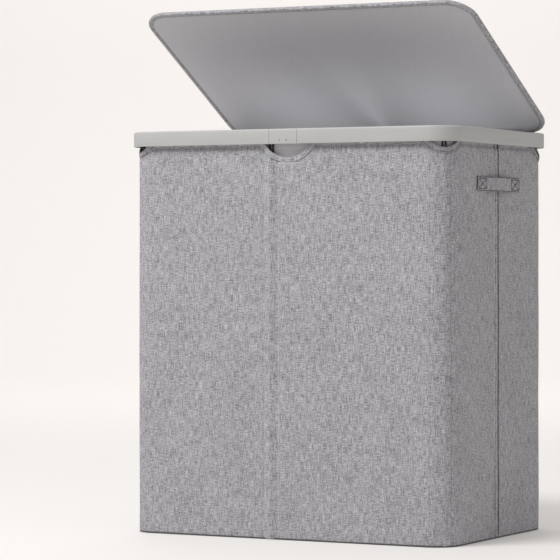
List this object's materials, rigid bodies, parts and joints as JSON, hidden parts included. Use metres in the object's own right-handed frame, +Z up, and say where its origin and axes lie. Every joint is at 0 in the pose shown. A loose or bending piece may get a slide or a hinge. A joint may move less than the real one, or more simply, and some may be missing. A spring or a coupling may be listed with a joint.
{
  "type": "laundry hamper",
  "caption": "Rounded rectangular fabric laundry hamper with stiffened walls, a plastic top rim, a hinged lid, side strap handles and two lift-out liner bags.",
  "frame": {"origin": "on the floor, at the middle of the footprint", "axes": "+Z up, +X to the hamper's right seen from the front, -Y towards the front; the lid hinges along the back edge at +Y"},
  "size_m": [0.581, 0.3948, 0.835],
  "materials": {
    "heather_fabric": "woven heather-grey linen look, matt",
    "lining_fabric": "smooth fine-weave lining, matt",
    "liner_fabric": "smooth coated polyester, faint sheen",
    "webbing": "ribbed dark-grey webbing",
    "rim_plastic": "satin moulded light grey",
    "board": "fluted stiffening board",
    "rod_steel": "dark coated wire",
    "rivet_plastic": "moulded grey push rivet"
  },
  "bodies": {
    "hamper_body": {"base_board_left": "board", "base_board_right": "board", "base_cover": "heather_fabric", "connector_pin_front_left": "rod_steel", "connector_pin_front_right": "rod_steel", "connector_pin_rear_left": "rod_steel", "connector_pin_rear_right": "rod_steel", "corner_pocket_front_left": "heather_fabric", "corner_pocket_front_right": "heather_fabric", "corner_pocket_rear_left": "heather_fabric", "corner_pocket_rear_right": "heather_fabric", "front_board_left": "board", "front_board_right": "board", "front_panel": "heather_fabric", "hinge_flap_rim": "heather_fabric", "hinge_rivet_1": "rivet_plastic", "hinge_rivet_2": "rivet_plastic", "hinge_rivet_3": "rivet_plastic", "left_board_front": "board", "left_board_rear": "board", "left_panel": "heather_fabric", "liner_handle_left_front": "webbing", "liner_handle_left_rear": "webbing", "liner_handle_right_front": "webbing", "liner_handle_right_rear": "webbing", "liner_left_bottom": "liner_fabric", "liner_left_front_panel": "liner_fabric", "liner_left_inner_panel": "liner_fabric", "liner_left_outer_panel": "liner_fabric", "liner_left_rear_panel": "liner_fabric", "liner_right_bottom": "liner_fabric", "liner_right_front_panel": "liner_fabric", "liner_right_inner_panel": "liner_fabric", "liner_right_outer_panel": "liner_fabric", "liner_right_rear_panel": "liner_fabric", "rear_board_left": "board", "rear_board_right": "board", "rear_panel": "heather_fabric", "right_board_front": "board", "right_board_rear": "board", "right_panel": "heather_fabric", "rim_connector_front": "rim_plastic", "rim_connector_rear": "rim_plastic", "rim_half_left": "rim_plastic", "rim_half_right": "rim_plastic", "side_handle_left": "heather_fabric", "side_handle_right": "heather_fabric", "support_rod_front_left": "rod_steel", "support_rod_front_middle": "rod_steel", "support_rod_front_right": "rod_steel", "support_rod_rear_left": "rod_steel", "support_rod_rear_middle": "rod_steel", "support_rod_rear_right": "rod_steel", "wall_lining": "lining_fabric"},
    "lid": {"lid_board_left": "board", "lid_board_right": "board", "lid_top_cover": "heather_fabric", "lid_lining": "lining_fabric", "lid_binding": "heather_fabric", "hinge_flap_lid": "heather_fabric"}
  },
  "joints": [
    {"name": "lid_hinge", "type": "hinge", "parent": "hamper_body", "child": "lid", "pos_m": [0, 0.1906, 0.6436], "axis": [-1, 0, 0], "range_deg": [-29.5, 80.5]}
  ]
}
